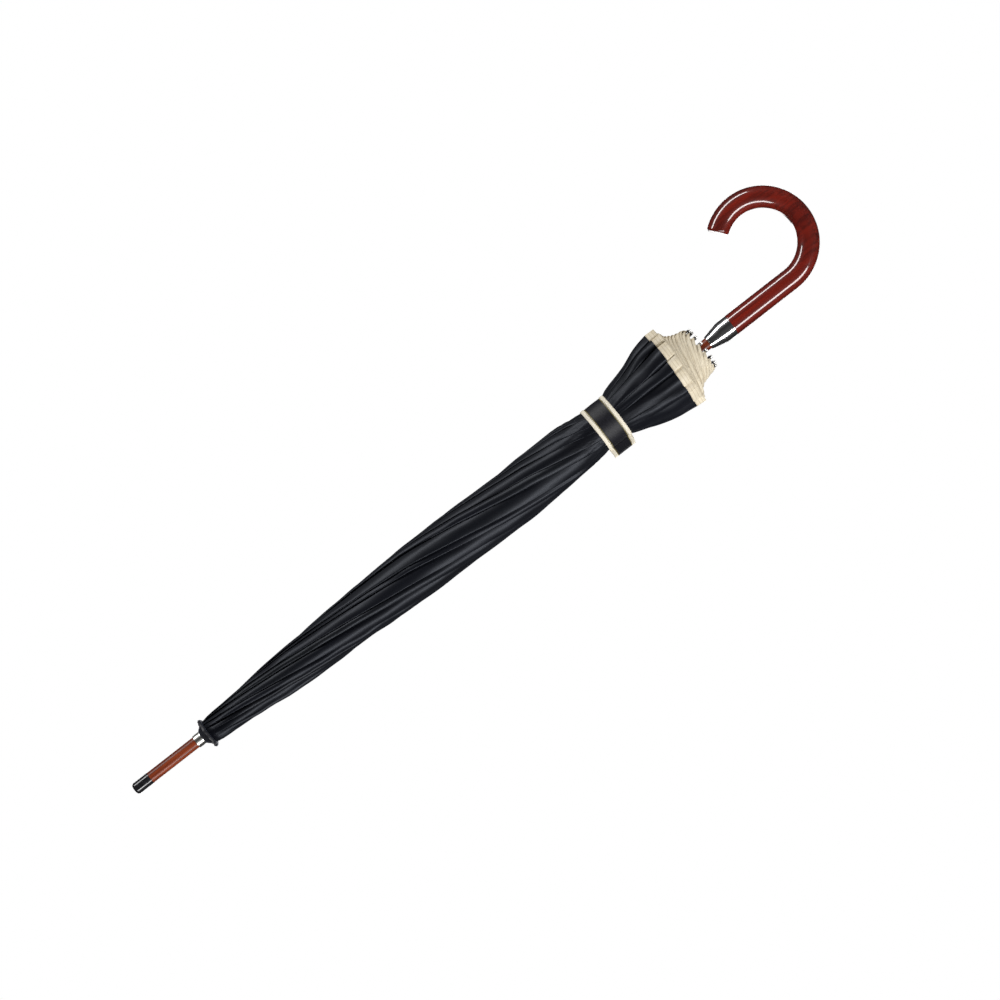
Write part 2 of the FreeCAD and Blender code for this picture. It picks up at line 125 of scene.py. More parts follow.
# How the bundle differs towards -X: how much fuller it is and where, and how much narrower its
# mouth is, as a share.
FULLER_TO_BACK = 1.9 * MM
FULLEST_AT = 0.315
FULL_RUN = 0.06
NARROWER_TO_BACK = 0.22
NARROWER_BELOW = 0.160
NARROWER_RUN = 0.04

# Fine gathers on both sides of the strap.
GATHERED_AT = (0.222, 0.170)
GATHER_RUN = 0.016
GATHER_DEPTH = 0.5 * MM
GATHERS_AROUND = 29

# Points along and across the cloth, and round the strap and the rosette.
ROLLED_ROWS, MOUTH_ROWS, ROLLED_COLUMNS = 57, 44, 61
OPEN_ROWS, OPEN_COLUMNS = 61, 21
AROUND_STRAP, AROUND_ROSETTE = 144, 160

# Outline of the rolled canopy: height and radius in millimetres.
BUNDLE_OUTLINE = ((60, 44.5), (113, 43.6), (134, 38.6), (154, 32.8), (164, 30.0), (174, 27.3),
                  (180, 25.3), (184, 23.0), (211, 23.0), (216, 23.9), (244, 26.2), (294, 28.2),
                  (440, 28.2), (484, 26.2), (544, 23.1), (592, 20.7), (644, 17.2), (685, 14.3),
                  (694, 13.4), (700, 11.9))

# Radius at which an average gore is wound: height and radius in millimetres.
WINDING_RADIUS = ((80, 29), (180, 24), (200, 22.6), (290, 23.6), (440, 22.4), (600, 17.5), (700, 12.5))

# Strap, in millimetres: height across the band and thickness outwards, round its section, whose
# first points are its outer side; its radius, and how far it is raised towards which angle.
STRAP_SECTION = ((-14.2, 0.1), (-13.9, 0.75), (-12.0, 1.0), (-10.1, 0.8), (-9.6, 0.35), (-7, 0.45),
                 (0, 0.6), (7, 0.45), (9.6, 0.35), (10.1, 0.8), (12.0, 1.0), (13.9, 0.75),
                 (14.2, 0.1), (13.0, -0.1), (7, -0.15), (0, -0.15), (-7, -0.15), (-13.0, -0.1))
STRAP_OUTER_POINTS = 13
STRAP_RADIUS = 23.35
STRAP_TILT = 0.35
STRAP_TILTED_TOWARDS = 0.8
STRAP_ON_CLOTH = 1.6 * MM

# Distance from the strap's middle at which its olive line and its cream binding start.
OLIVE_FROM = 8.8 * MM
CREAM_FROM = 9.8 * MM

# Loose end of the strap: distance from the stick and thickness of one layer, in millimetres.
TAB_OUT = (21.5, 24.5, 26, 28, 30, 32, 33.2, 33.7)
TAB_CROWN = (0.15, 0.75, 0.95, 0.8, 0.5, 0.55, 0.6, 0.55, 0.5, 0.8, 0.95, 0.75, 0.15)

# Rosette: radius and height above its foot, in millimetres, round its section.
ROSETTE_SECTION = ((6.1, 0.0), (9.4, -0.3), (12.2, -0.2), (14.2, -0.2), (15.2, 0.7), (15.7, 2.2),
                   (15.6, 3.1), (15.1, 3.0), (14.0, 1.8), (12.4, 2.9), (10.4, 5.0), (8.6, 7.3),
                   (7.4, 8.6), (6.1, 9.0))
ROSETTE_PUCKERS = 13

# Sewing thread: the lines on the strap, the corners of the line on its loose end in millimetres,
# and the ties of the rib tips, whose distance from the stick is taken at TIE_RADIUS_AT.
STITCH_LINE = 10.3 * MM
STITCH_RADIUS = 24.3 * MM
TAB_STITCHES = ((-26.5, 8.2), (-31.8, 7.9), (-31.8, -7.9), (-26.5, -8.2))
TAB_STITCH_OUT = 0.72
TIE_HEIGHT = 75.6 * MM
TIE_RADIUS_AT = 84 * MM


# ---------------------------------------------------------------- small helpers

def smoothstep(x):
    """Ease from 0 to 1."""
    x = np.clip(x, 0.0, 1.0)
    return x * x * (3 - 2 * x)


def slow_wave(rng, count):
    """Smooth seeded unevenness, about -1 to 1, as a function of a length from 0 to 1."""
    terms = [(rng.normal() / (1.6 * k), 0.7 * math.tau * k, rng.uniform(0, math.tau))
             for k in range(1, count + 1)]
    return lambda x: sum(size * np.sin(turns * x + start) for size, turns, start in terms)


def grid_faces(rows, columns):
    """Quads of a sheet of rows by columns points."""
    index = np.arange(rows * columns).reshape(rows, columns)
    return np.stack([index[:-1, :-1], index[:-1, 1:], index[1:, 1:], index[1:, :-1]],
                    -1).reshape(-1, 4)


def make_mesh(name, points, faces, uv=None):
    """Mesh object from points and faces, with a UV pair for every point if given."""
    mesh = bpy.data.meshes.new(name)
    mesh.from_pydata([tuple(p) for p in np.asarray(points).reshape(-1, 3)], [],
                     [tuple(int(i) for i in f) for f in faces])
    if uv is not None:
        layer = mesh.uv_layers.new(name="cut")
        corner = np.array([loop.vertex_index for loop in mesh.loops])
        layer.data.foreach_set("uv", np.asarray(uv).reshape(-1, 2)[corner].astype(np.float32).ravel())
    mesh.shade_smooth()
    mesh.update()
    piece = bpy.data.objects.new(name, mesh)
    bpy.context.scene.collection.objects.link(piece)
    return piece


def plain_mesh(piece):
    """Mesh of a piece as its modifiers leave it."""
    bpy.context.view_layer.update()
    graph = bpy.context.evaluated_depsgraph_get()
    return bpy.data.meshes.new_from_object(piece.evaluated_get(graph))


def finish_piece(piece, material):
    """Give a new piece its material."""
    piece.data.materials.clear()
    piece.data.materials.append(material)


def closed_strip(count, section_count):
    """Quads of a section carried once round, closed both ways."""
    index = np.arange(count * section_count).reshape(count, section_count)
    following = np.roll(index, -1, 0)
    return np.stack([index, following, np.roll(following, -1, 1), np.roll(index, -1, 1)],
                    -1).reshape(-1, 4)


def around_stick(radius, azimuth, z):
    """Points from radius, azimuth and height."""
    return np.stack([radius * np.cos(azimuth), radius * np.sin(azimuth), z], -1)


def turned(angle, points):
    """Points turned about the stick."""
    c, s = math.cos(angle), math.sin(angle)
    points = np.asarray(points)
    return np.stack([c * points[..., 0] - s * points[..., 1],
                     s * points[..., 0] + c * points[..., 1], points[..., 2]], -1)


def turn_matrix(axis, angle):
    """Rotation matrix about a unit axis."""
    x, y, z = axis
    k = np.array([[0, -z, y], [z, 0, -x], [-y, x, 0]])
    return np.eye(3) + math.sin(angle) * k + (1 - math.cos(angle)) * k @ k


# ---------------------------------------------------------------- materials

class Finish:
    """A node material under construction."""

    def __init__(self, name, **sockets):
        self.material = bpy.data.materials.new(name)
        self.material.use_nodes = True
        self.tree = self.material.node_tree
        self.shader = self.tree.nodes["Principled BSDF"]
        for socket, value in sockets.items():
            self.shader.inputs[socket.replace("_", " ")].default_value = value

    def node(self, kind, **settings):
        """New node with its settings and input defaults."""
        node = self.tree.nodes.new(kind)
        for key, value in settings.items():
            if hasattr(node, key):
                setattr(node, key, value)
            else:
                node.inputs[key.replace("_", " ")].default_value = value
        return node

    def join(self, source, target):
        """Link two sockets."""
        self.tree.links.new(source, target)

    def object_place(self, scale=(1, 1, 1)):
        """Object coordinates, stretched."""
        place = self.node("ShaderNodeTexCoord")
        mapping = self.node("ShaderNodeMapping", Scale=scale)
        self.join(place.outputs["Object"], mapping.inputs["Vector"])
        return mapping.outputs["Vector"]

    def uv_place(self, scale=(1, 1, 1)):
        """The piece's own cut coordinates, stretched."""
        place = self.node("ShaderNodeUVMap", uv_map="cut")
        mapping = self.node("ShaderNodeMapping", Scale=scale)
        self.join(place.outputs["UV"], mapping.inputs["Vector"])
        return mapping.outputs["Vector"]

    def noise(self, place, scale, detail=3.0, roughness=0.55):
        """Noise value over a place."""
        noise = self.node("ShaderNodeTexNoise", Scale=scale, Detail=detail, Roughness=roughness)
        self.join(place, noise.inputs["Vector"])
        return noise.outputs["Fac"]

    def ramp(self, value, *stops):
        """Colour ramp through stops of position and colour."""
        ramp = self.node("ShaderNodeValToRGB")
        while len(ramp.color_ramp.elements) < len(stops):
            ramp.color_ramp.elements.new(0.5)
        for element, (position, colour) in zip(ramp.color_ramp.elements, stops):
            element.position = position
            element.color = (*colour, 1)
        self.join(value, ramp.inputs["Fac"])
        return ramp.outputs["Color"]

    def math(self, operation, first, second):
        """One sum on values or sockets."""
        node = self.node("ShaderNodeMath", operation=operation)
        for socket, value in zip(node.inputs, (first, second)):
            if isinstance(value, (int, float)):
                socket.default_value = value
            else:
                self.join(value, socket)
        return node.outputs["Value"]

    def between(self, value, low, high, at_low, at_high):
        """Value carried from one range to another, held at the ends."""
        node = self.node("ShaderNodeMapRange")
        for socket, number in zip(node.inputs[1:5], (low, high, at_low, at_high)):
            socket.default_value = number
        self.join(value, node.inputs[0])
        return node.outputs["Result"]

    def mix(self, factor, first, second, blend="MIX"):
        """Colour mixed from two colours or sockets."""
        node = self.node("ShaderNodeMix", data_type="RGBA", blend_type=blend)
        for socket, value in ((node.inputs["Factor"], factor),
                              (node.inputs[6], first), (node.inputs[7], second)):
            if isinstance(value, tuple):
                socket.default_value = (*value, 1)
            elif isinstance(value, (int, float)):
                socket.default_value = value
            else:
                self.join(value, socket)
        return node.outputs[2]

    def bump(self, *layers):
        """Bump built from height sockets, each with its strength and depth."""
        normal = None
        for height, strength, depth in layers:
            bump = self.node("ShaderNodeBump", Strength=strength, Distance=depth)
            self.join(height, bump.inputs["Height"])
            if normal:
                self.join(normal, bump.inputs["Normal"])
            normal = bump.outputs["Normal"]
        self.join(normal, self.shader.inputs["Normal"])

    def set(self, socket, source):
        """Feed one input of the shader."""
        self.join(source, self.shader.inputs[socket])


def weave(finish, place, period):
    """Plain weave height: warp and weft waves that cross."""
    waves = []
    for direction in ("X", "Y"):
        wave = finish.node("ShaderNodeTexWave", bands_direction=direction, Scale=0.314 / period)
        finish.join(place, wave.inputs["Vector"])
        waves.append(wave.outputs["Fac"])
    return finish.math("MAXIMUM", *waves)


def canopy_cloth_material():
    """Black satin-weave cloth whose cream hem is counted from the cut edge."""
    finish = Finish("canopy_cloth", Sheen_Weight=0.03, Sheen_Roughness=0.4)
    finish.shader.inputs["Sheen Tint"].default_value = (0.55, 0.6, 0.85, 1)
    finish.shader.inputs["Specular IOR Level"].default_value = 0.27
    finish.shader.inputs["Specular Tint"].default_value = (0.84, 0.89, 1.0, 1)
    edge_on = finish.node("ShaderNodeLayerWeight", Blend=0.5).outputs["Facing"]
    finish.set("Roughness", finish.between(edge_on, 0.35, 0.85, 0.44, 0.95))
    place = finish.uv_place()
    parts = finish.node("ShaderNodeSeparateXYZ")
    finish.join(place, parts.inputs["Vector"])
    from_hem = parts.outputs["Y"]
    tint = finish.ramp(finish.noise(finish.uv_place((9, 2.5, 1)), 1.0, 2.0),
                       (0.32, (0.0016, 0.0017, 0.0027)), (0.52, (0.0026, 0.0030, 0.0054)),
                       (0.70, (0.0034, 0.0040, 0.0050)))
    cream = finish.ramp(finish.noise(finish.uv_place((60, 60, 1)), 1.0, 3.0),
                        (0.3, (0.52, 0.45, 0.33)), (0.7, (0.68, 0.61, 0.47)))
    stitched = finish.node("ShaderNodeTexWave", bands_direction="Y", Scale=95.0)
    finish.join(place, stitched.inputs["Vector"])
    lines = finish.between(stitched.outputs["Fac"], 0.02, 0.16, 0.62, 1.0)
    shade = finish.mix(lines, (0.45, 0.36, 0.24), (1.0, 1.0, 1.0))
    cream = finish.mix(1.0, cream, shade, "MULTIPLY")
    in_band = finish.math("LESS_THAN", from_hem, CREAM_BAND)
    finish.set("Base Color", finish.mix(in_band, tint, cream))
    finish.bump((finish.noise(finish.uv_place((26, 5, 1)), 1.0, 3.0), 0.45, 0.0045),
                (finish.noise(finish.uv_place((110, 40, 1)), 1.0, 3.0), 0.3, 0.0008),
                (weave(finish, place, 0.00045), 0.12, 0.00006))
    return finish.material


def rosette_cloth_material():
    """Plain black cloth of the rosette."""
    finish = Finish("rosette_cloth", Roughness=0.5, Sheen_Weight=0.15, Sheen_Roughness=0.4)
    finish.shader.inputs["Sheen Tint"].default_value = (0.5, 0.6, 0.9, 1)
    place = finish.object_place()
    finish.set("Base Color", finish.ramp(
        finish.noise(place, 90.0), (0.35, (0.007, 0.007, 0.0091)), (0.7, (0.010, 0.010, 0.013))))
    finish.bump((finish.noise(place, 420.0), 0.25, 0.0004),
                (weave(finish, place, 0.0006), 0.2, 0.00008))
    return finish.material


def lacquered_wood_material(name, dark, warm, figure, coat_roughness, coat_index):
    """Close-grained wood under clear lacquer, its grain running along the stick."""
    finish = Finish(name, Roughness=0.45, Coat_Weight=1.0, Coat_Roughness=coat_roughness)
    finish.shader.inputs["Specular IOR Level"].default_value = 0.15
    finish.shader.inputs["Coat IOR"].default_value = coat_index
    grain_place = finish.object_place((1, 1, 0.06))
    grain = finish.noise(grain_place, figure, 6.0, 0.62)
    pores = finish.noise(finish.object_place((1, 1, 0.03)), figure * 7, 2.0)
    colour = finish.ramp(grain, (0.30, dark), (0.68, warm))
    shade = finish.between(pores, 0.38, 0.55, 0.62, 1.0)
    pored = finish.mix(shade, dark, (1.0, 1.0, 1.0))
    finish.set("Base Color", finish.mix(1.0, colour, pored, "MULTIPLY"))
    finish.bump((pores, 0.06, 0.0002))
    return finish.material


def metal_material(name, colour, roughness, streak):
    """Bright metal with faint draw lines along its length."""
    finish = Finish(name, Metallic=1.0)
    lines = finish.noise(finish.object_place((1, 1, 0.02)), streak, 3.0)
    cloud = finish.noise(finish.object_place(), 60.0, 4.0)
    dull = tuple(0.8 * part for part in colour)
    finish.set("Base Color", finish.ramp(cloud, (0.3, dull), (0.75, colour)))
    finish.set("Roughness", finish.between(lines, 0.3, 0.7, roughness * 0.7, roughness * 1.5))
    finish.bump((lines, 0.05, 0.0001))
    return finish.material


def black_plastic_material(name, roughness):
    """Moulded black plastic with handling marks."""
    finish = Finish(name, Coat_Weight=0.4, Coat_Roughness=0.1)
    place = finish.object_place()
    marks = finish.noise(place, 220.0, 5.0, 0.7)
    finish.set("Base Color", finish.ramp(
        marks, (0.35, (0.006, 0.006, 0.007)), (0.75, (0.02, 0.02, 0.023))))
    finish.set("Roughness", finish.between(marks, 0.3, 0.8, roughness, roughness + 0.22))
    finish.bump((marks, 0.08, 0.0002))
    return finish.material


def floor_material():
    """Pale plain floor."""
    finish = Finish("pale_floor", Roughness=0.8)
    finish.set("Base Color", finish.ramp(
        finish.noise(finish.object_place(), 3.0),
        (0.3, (0.80, 0.80, 0.79)), (0.8, (0.86, 0.86, 0.85))))
    finish.shader.inputs["Emission Color"].default_value = (1.0, 1.0, 0.99, 1)
    finish.shader.inputs["Emission Strength"].default_value = 0.38
    return finish.material


canopy_cloth = canopy_cloth_material()
rosette_cloth = rosette_cloth_material()
handle_lacquer = lacquered_wood_material(
    "handle_lacquer", (0.050, 0.0020, 0.0007), (0.165, 0.0078, 0.0016), 45.0, 0.11, 1.7)
stick_wood = lacquered_wood_material(
    "stick_wood", (0.080, 0.009, 0.002), (0.25, 0.040, 0.007), 150.0, 0.30, 1.3)
collar_chrome = metal_material("collar_chrome", (0.80, 0.80, 0.81), 0.17, 300.0)
ring_silver = metal_material("ring_silver", (0.86, 0.85, 0.80), 0.28, 300.0)
rib_steel = metal_material("rib_steel", (0.72, 0.71, 0.68), 0.34, 500.0)
catch_steel = metal_material("catch_steel", (0.66, 0.66, 0.65), 0.30, 500.0)
cap_black = black_plastic_material("cap_black", 0.12)
notch_plastic = black_plastic_material("notch_plastic", 0.35)


# ---------------------------------------------------------------- cloth of the rolled canopy

def radius_at(z, outline):
    """Radius of an outline of heights and radii at a height."""
    heights, radii = zip(*outline)
    return np.interp(z / MM, heights, radii) * MM


def inner_radius(z):
    """Radius just outside the ribs at a height."""
    along = CROWN_PIVOT.z - z
    return np.maximum(CROWN_RADIUS + along * math.tan(CLOSED_LEAN) + RIB_BACK, CROWN_CLEARANCE)


def half_width(z):
    """Half the width of one gore's cloth at a height."""
    return HALF_WIDTH_AT_CROWN + np.maximum(CLOTH_TOP - z, 0) * HALF_WIDTH_GROWTH


def thicken(piece, thickness):
    """Give a sheet its thickness and a closed edge."""
    solid = piece.modifiers.new("thickness", "SOLIDIFY")
    solid.thickness = thickness
    solid.offset = 0.0
    mesh = plain_mesh(piece)
    piece.modifiers.clear()
    piece.data = mesh


class Roll:
    """How far each gore's fold reaches round the stick, and how unevenly the gore lies."""

    def __init__(self, seed):
        rng = np.random.default_rng(seed)
        self.shift = rng.uniform(-UNEVEN_FOLD, UNEVEN_FOLD, RIBS)
        self.wander = [slow_wave(rng, 4) for _ in range(RIBS)]
        self.puff = rng.uniform(LEAST_PUFF, MOST_PUFF, RIBS)
        self.uneven_hem = rng.uniform(-UNEVEN_HEM, UNEVEN_HEM, RIBS)
        self.breath = [slow_wave(rng, 6) for _ in range(RIBS)]
        self.crumple = [[(rng.uniform(5, 20), rng.uniform(-1.1, 1.1), rng.uniform(0, math.tau),
                          rng.normal()) for _ in range(9)] for _ in range(RIBS)]

    def wrinkle(self, gore, along, turn):
        """Small soft dents of one gore, about -1 to 1, along its length and round its turn."""
        return sum(size * np.sin(math.tau * (lengthwise * along + round_it * turn) + start)
                   for lengthwise, round_it, start, size in self.crumple[gore]) / 3

    def plain_reach(self, z):
        """Angle that an average gore wraps round the stick at a height."""
        return half_width(z) / radius_at(z, WINDING_RADIUS)

    def reach(self, gore, z):
        """Angle that one gore wraps, with its own unevenness."""
        along = (CLOTH_TOP - z) / CLOTH_TOP
        free = smoothstep((CLOTH_TOP - z) / 0.12)
        uneven = self.shift[gore % RIBS] + 3.4 * self.wander[gore % RIBS](along)
        return self.plain_reach(z) + np.radians(uneven) * free


def rolled_gore(gore, roll):
    """Points and cut coordinates of one gore rolled round the bundle."""
    plain = np.linspace(0, 0.75, ROLLED_ROWS + 1)[:-1]
    down = np.concatenate([plain, np.linspace(0.75, 1, MOUTH_ROWS)])[:, None]
    across = np.linspace(-1, 1, ROLLED_COLUMNS)
    across = (np.sign(across) * np.abs(across) ** 1.55)[None, :]
    length = CLOTH_TOP - HEM_AT_FOLD + HEM_DIP * np.abs(across) ** 1.7
    length = length + roll.uneven_hem[gore] * (1 - across ** 2)
    z = CLOTH_TOP - down * length
    along = (CLOTH_TOP - z) / CLOTH_TOP
    in_mouth = smoothstep((MOUTH_TOP - z) / MOUTH_RUN)

    reach = roll.reach(gore, z)
    turn = np.where(across < 0, reach * (1 + across), reach - across * (reach + PITCH))
    inner, outer = inner_radius(z), radius_at(z, BUNDLE_OUTLINE)
    share = np.clip(turn, 0, None) / roll.plain_reach(z)
    share = np.minimum(share, MOST_WRAP) ** (1 + 0.45 * in_mouth)
    slack = smoothstep((z - NECK_TOP) / PUFF_RUN) * smoothstep((CLOTH_TOP - z) / PUFF_RUN)
    outer = outer - (0.4 + 0.9 * slack + 2.2 * in_mouth) * MM
    radius = inner + (outer - inner) * share

    # The two layers of a flap part a little and meet in a round fold.
    apart = (0.35 + 0.45 * smoothstep((z - 0.215) / 0.03) + 2.4 * in_mouth) * MM
    to_fold = np.clip((reach - turn) * outer / (0.5 * apart), 0, 1)
    lift = apart * np.sqrt(1 - (1 - to_fold) ** 2)
    lift = lift * np.where(turn < 0, smoothstep((turn + PITCH) / PITCH), 1.0)
    radius = radius + np.where(across > 0, lift, 0)

    # The strip that no other flap covers stands up softly.
    covered = roll.reach(gore + 1, z) - PITCH
    bare = np.clip((turn - covered) / np.maximum(reach - covered, 0.05), 0, 1)
    slack = slack + 2.4 * in_mouth
    swell = roll.puff[gore] * (0.85 + 0.5 * roll.breath[gore](along)) * slack * MM
    radius = radius + np.maximum(swell, 0) * np.sin(math.pi * bare ** 0.8) ** (0.8 + 0.5 * in_mouth)
    dents = roll.wrinkle(gore, along, turn) * np.sin(math.pi * bare) ** 0.6
    radius = radius + dents * (0.34 + 0.75 * in_mouth) * MM * smoothstep((CLOTH_TOP - z) / 0.08)

    # The strap draws the cloth into fine gathers on both its sides.
    azimuth = (gore + 0.5) * PITCH - turn
    near_strap = sum(np.exp(-((z - height) / GATHER_RUN) ** 2) for height in GATHERED_AT)
    gathers = np.sin(GATHERS_AROUND * azimuth + 2.2 * np.sin(4 * azimuth + 1) + 60 * z)
    radius = radius + gathers * np.sin(math.pi * bare) ** 0.5 * GATHER_DEPTH * near_strap

    # Towards -X the bundle is a little fuller above the strap, and its mouth is narrower.
    fuller = FULLER_TO_BACK * np.exp(-((z - FULLEST_AT) / FULL_RUN) ** 2) * np.clip(share, 0, 1)
    narrower = NARROWER_TO_BACK * smoothstep((NARROWER_BELOW - z) / NARROWER_RUN)
    radius = radius - (radius - inner) * (narrower * np.clip(-np.cos(azimuth), 0, 1))
    points = around_stick(radius, azimuth, z)
    points[..., 0] -= fuller
    width = np.broadcast_to(across, z.shape) * half_width(z)
    return points, np.stack([width + CUT_SPACING * gore, (1 - down) * length], -1)


def make_rolled_gores():
    """The sixteen gores as they lie rolled round the closed ribs."""
    roll = Roll(4)
    for gore in range(RIBS):
        points, uv = rolled_gore(gore, roll)
        faces = grid_faces(*points.shape[:2])[:, ::-1]
        piece = make_mesh("rolled_gore_%02d" % (gore + 1), points, faces, uv)
        thicken(piece, CLOTH_THICKNESS)
        finish_piece(piece, canopy_cloth)
        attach(piece, "stick")
        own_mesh(piece)
        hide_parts("canopy_panel_%02d" % (gore + 1))


# ---------------------------------------------------------------- cloth of the open canopy

def open_gore_points():
    """One open gore between two ribs, as it stands with the umbrella up, middle towards +X."""
    lean = CLOSED_LEAN + OPENING
    down = np.linspace(0, 1, OPEN_ROWS)[:, None]
    across = np.linspace(-1, 1, OPEN_COLUMNS)[None, :]
    first = 3 * MM
    length = CROWN_PIVOT.z - RIB_LOW_END - first - HEM_DIP * (1 - across ** 2)
    along = first + down * (length - first)
    out = CROWN_RADIUS + along * math.sin(lean) + RIB_BACK * math.cos(lean)
    z = CROWN_PIVOT.z - along * math.cos(lean) + RIB_BACK * math.sin(lean)
    width = out * math.sin(PITCH / 2)
    chord = out * math.cos(PITCH / 2)
    hollow = HOLLOW * width * (1 - across ** 2)
    points = np.stack([chord - hollow * math.cos(lean), width * across,
                       z - hollow * math.sin(lean)], -1)
    uv = np.stack([width * across, length - along], -1)
    return points, uv


def undo_joint(points, joint):
    """Points as they lie before a joint has turned to its limit."""
    axis, pivot = np.array(joint["axis"], float), np.array(joint["pos_m"])
    turn = turn_matrix(axis / np.linalg.norm(axis), math.radians(joint["range_deg"][1]))
    return (points - pivot) @ turn + pivot


def gathered_rest(points, rib, panel, blend_half):
    """Where the open cloth has to lie at rest so that the hinge of its panel spreads it out."""
    hinge = np.array(panel["pos_m"])
    in_rib = undo_joint(points, rib)
    axis = np.array(panel["axis"], float)
    axis /= np.linalg.norm(axis)
    full = math.radians(panel["range_deg"][1])
    arm = in_rib - hinge
    along = (arm @ axis)[..., None] * axis
    across, crossed = arm - along, np.cross(axis, arm)

    def turned_back(weight):
        angle = -full * weight[..., None]
        return hinge + along + across * np.cos(angle) + crossed * np.sin(angle)

    low, high = np.zeros(points.shape[:-1]), np.ones(points.shape[:-1])
    for _ in range(44):
        middle = (low + high) / 2
        place = (turned_back(middle)[..., 1] + blend_half) / (2 * blend_half)
        above = smoothstep(place) > middle
        low, high = np.where(above, middle, low), np.where(above, high, middle)
    return turned_back((low + high) / 2)


def make_open_gores():
    """The sixteen gores of the open canopy, laid at their gathered rest."""
    blend_half = CROWN_RADIUS * math.sin(PITCH / 2)
    points, uv = open_gore_points()
    rest = gathered_rest(points, JOINTS["rib_16_swing"], JOINTS["panel_16_spread"], blend_half)
    for gore in range(1, RIBS + 1):
        middle = gore * PITCH
        piece = make_mesh("open_gore_%02d" % gore, turned(middle, rest),
                          grid_faces(*rest.shape[:2]), uv + np.array([CUT_SPACING * gore, 0]))
        finish_piece(piece, canopy_cloth)
        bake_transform(piece)


# ---------------------------------------------------------------- strap, rosette and thread

def strap_material():
    """Black satin band bound along both edges in cream, with an olive line between."""
    finish = Finish("bound_strap", Roughness=0.5, Sheen_Weight=0.05, Sheen_Roughness=0.4)
    finish.shader.inputs["Specular IOR Level"].default_value = 0.3
    place = finish.uv_place()
    parts = finish.node("ShaderNodeSeparateXYZ")
    finish.join(place, parts.inputs["Vector"])
    height = finish.math("ABSOLUTE", parts.outputs["Y"], 0.0)
    threads = finish.noise(finish.uv_place((260, 900, 1)), 1.0, 2.0)
    black = finish.ramp(threads, (0.3, (0.003, 0.003, 0.005)), (0.7, (0.008, 0.008, 0.013)))
    cream = finish.ramp(threads, (0.3, (0.62, 0.56, 0.44)), (0.7, (0.80, 0.75, 0.63)))
    olive = finish.ramp(threads, (0.3, (0.10, 0.085, 0.03)), (0.7, (0.17, 0.14, 0.06)))
    edged = finish.mix(finish.math("GREATER_THAN", height, OLIVE_FROM), black, olive)
    bound = finish.mix(finish.math("GREATER_THAN", height, CREAM_FROM), edged, cream)
    finish.set("Base Color", bound)
    finish.bump((finish.noise(finish.uv_place((120, 400, 1)), 1.0, 3.0), 0.3, 0.0005),
                (weave(finish, place, 0.0006), 0.25, 0.0001))
    return finish.material


def strap_rest_plane():
    """Way out of the open cloth where the loosened strap lies on it, and a point of that plane."""
    points, _ = open_gore_points()
    row = points.shape[0] * 4 // 5
    cloth = np.stack([points[row, -1], points[row, -4], points[row + 6, -1]])
    flat = undo_joint(undo_joint(cloth, JOINTS["rib_16_swing"]), JOINTS["panel_16_spread"])
    out = np.cross(flat[1] - flat[0], flat[2] - flat[0])
    out *= np.sign(out[0]) / np.linalg.norm(out)
    level = flat[0] @ out
    way, lying = turned(math.pi, out), turned(math.pi, out * (level + STRAP_ON_CLOTH))
    return tuple(map(float, way)), tuple(map(float, lying))


def make_strap(bound):
    """Band round the bundle, its thick bound edges standing a little proud."""
    rng = np.random.default_rng(12)
    around = np.linspace(0, math.tau, AROUND_STRAP + 1)[:-1]
    waves = sum(rng.normal() * np.cos(k * around + rng.uniform(0, math.tau))
                for k in (2, 3, 5, 7)) * 0.14
    tilt = STRAP_TILT * np.cos(around - STRAP_TILTED_TOWARDS)
    section = np.array(STRAP_SECTION)
    radius = STRAP_RADIUS + waves[:, None] * 0.8 + section[None, :, 1]
    z = STRAP_MIDDLE / MM + section[None, :, 0] + tilt[:, None]
    points = around_stick(radius, around[:, None], z) * MM
    girth_radius = 23.5 * MM
    uv = np.stack([np.broadcast_to(around[:, None] * girth_radius, radius.shape),
                   np.broadcast_to(section[None, :, 0] * MM, radius.shape)], -1)
    piece = make_mesh("tie_strap_band", points, closed_strip(*radius.shape), uv)
    finish_piece(piece, bound)
    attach(piece, "panel_08")
    way, lying = strap_rest_plane()
    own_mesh(piece)
    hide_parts("tie_strap")


def make_strap_tab(bound):
    """Doubled end of the strap that stands off the bundle, pressed together."""
    low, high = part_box("strap_tab")
    middle = (low.z + high.z) / 2 / MM
    out = np.array(TAB_OUT)
    heights = np.array([height for height, _ in STRAP_SECTION[:STRAP_OUTER_POINTS]])
    crown = np.array(TAB_CROWN)
    narrow = np.interp(out, (24, 33.7), (0.985, 0.9))[:, None]
    thick = np.interp(out, (21.5, 24.5, 33.2, 33.7), (0.5, 0.95, 1.0, 0.35))[:, None]
    sheets = []
    for side in (-1, 1):
        y = side * (0.06 + crown[None, :] * thick)
        z = middle + heights[None, :] * narrow + 0.012 * (out[:, None] - 24) ** 2
        x = np.broadcast_to(-out[:, None], z.shape)
        sheets.append(np.stack([x, np.broadcast_to(y, z.shape), z], -1))
    points = np.stack(sheets) * MM
    count = out.size * heights.size
    front = grid_faces(out.size, heights.size)
    faces = [tuple(f) for f in front] + [tuple(f[::-1] + count) for f in front]
    index = np.arange(count).reshape(out.size, heights.size)
    rim = np.concatenate([index[:, 0], index[-1, 1:], index[-2::-1, -1], index[0, -2:0:-1]])
    faces += [(b, a, a + count, b + count) for a, b in zip(rim, np.roll(rim, -1))]
    uv = np.stack([np.broadcast_to(out[:, None] * MM, index.shape),
                   np.broadcast_to(heights[None, :] * MM, index.shape)], -1)
    piece = make_mesh("strap_end", points, faces, np.stack([uv, uv]))
    recalculate(piece)
    finish_piece(piece, bound)
    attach(piece, "strap_tab")
    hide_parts("strap_tab")


def recalculate(piece):
    """Point every face outwards."""
    shell = bmesh.new()
    shell.from_mesh(piece.data)
    bmesh.ops.recalc_face_normals(shell, faces=shell.faces[:])
    shell.to_mesh(piece.data)
    shell.free()


